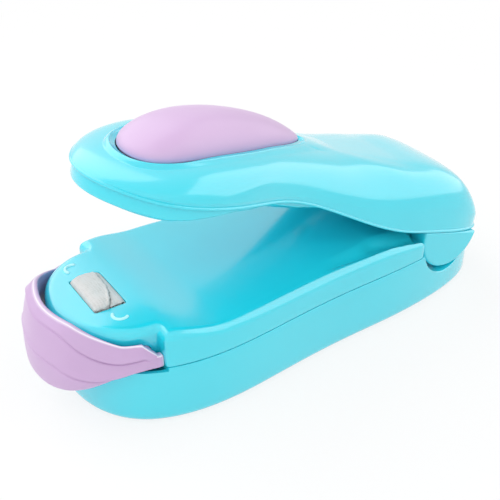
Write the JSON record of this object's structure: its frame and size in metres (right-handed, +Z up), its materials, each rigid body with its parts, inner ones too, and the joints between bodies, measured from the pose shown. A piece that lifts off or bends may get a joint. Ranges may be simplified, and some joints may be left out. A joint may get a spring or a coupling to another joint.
{
  "type": "mini bag sealer",
  "caption": "Pocket heat sealer for bags: rounded battery base with a heated nose strip, a sprung arm hinged at the rear with a teardrop thumb button, and a swing guard around the nose.",
  "frame": {"origin": "middle of the base's underside, on the table", "axes": "+X to the object's left as seen from its front, +Y from the nose to the hinge, +Z up; the nose points to -Y"},
  "size_m": [0.0388, 0.1006, 0.0493],
  "materials": {
    "aqua_plastic": "glossy moulded plastic",
    "lilac_plastic": "glossy moulded plastic",
    "white_block": "matt heat-proof block",
    "glass_cloth": "woven coated cloth",
    "spring_steel": "drawn wire and ribbon",
    "plated_steel": "nickel plated",
    "contact_brass": "stamped sheet",
    "cell_case": "plain wrapped cell",
    "lead_cover": "insulated lead",
    "grey_silicone": "soft silicone pad"
  },
  "bodies": {
    "base": {"lower_housing": "aqua_plastic", "upper_housing": "aqua_plastic", "heater_block": "white_block", "heating_element": "spring_steel", "heater_cloth": "glass_cloth", "heater_terminals": "contact_brass", "battery_cells": "cell_case", "battery_springs": "spring_steel", "battery_bridge_plate": "plated_steel", "battery_tabs": "plated_steel", "housing_screws": "plated_steel", "hinge_pin": "spring_steel", "return_spring": "spring_steel", "base_leads": "lead_cover"},
    "cover": {"battery_cover": "aqua_plastic"},
    "guard": {"front_guard": "lilac_plastic"},
    "arm": {"arm_shell": "aqua_plastic", "arm_undertray": "aqua_plastic", "presser_pad": "grey_silicone", "switch_leaf_upper": "contact_brass", "switch_leaf_lower": "contact_brass", "arm_screws": "plated_steel", "button_spring": "spring_steel"},
    "button": {"press_button": "lilac_plastic"}
  },
  "joints": [
    {"name": "arm_hinge", "type": "hinge", "parent": "base", "child": "arm", "pos_m": [0, 0.03655, 0.0143], "axis": [1, 0, 0], "range_deg": [0, 14.6], "stiffness_Nm_per_rad": 0.6, "springref_deg": -5.73},
    {"name": "button_press", "type": "slide", "parent": "arm", "child": "button", "axis": [0, -0.2924, -0.9563], "range_m": [0, 0.0012], "stiffness_N_per_m": 500, "springref_m": -0.0006, "deforming": ["button_spring"]},
    {"name": "guard_swing", "type": "hinge", "parent": "base", "child": "guard", "pos_m": [0, -0.03475, 0.0149], "axis": [-1, 0, 0], "range_deg": [0, 18]},
    {"name": "battery_cover_swing", "type": "hinge", "parent": "base", "child": "cover", "pos_m": [0, -0.02755, 0.0009], "axis": [-1, 0, 0], "range_deg": [0, 70]}
  ]
}
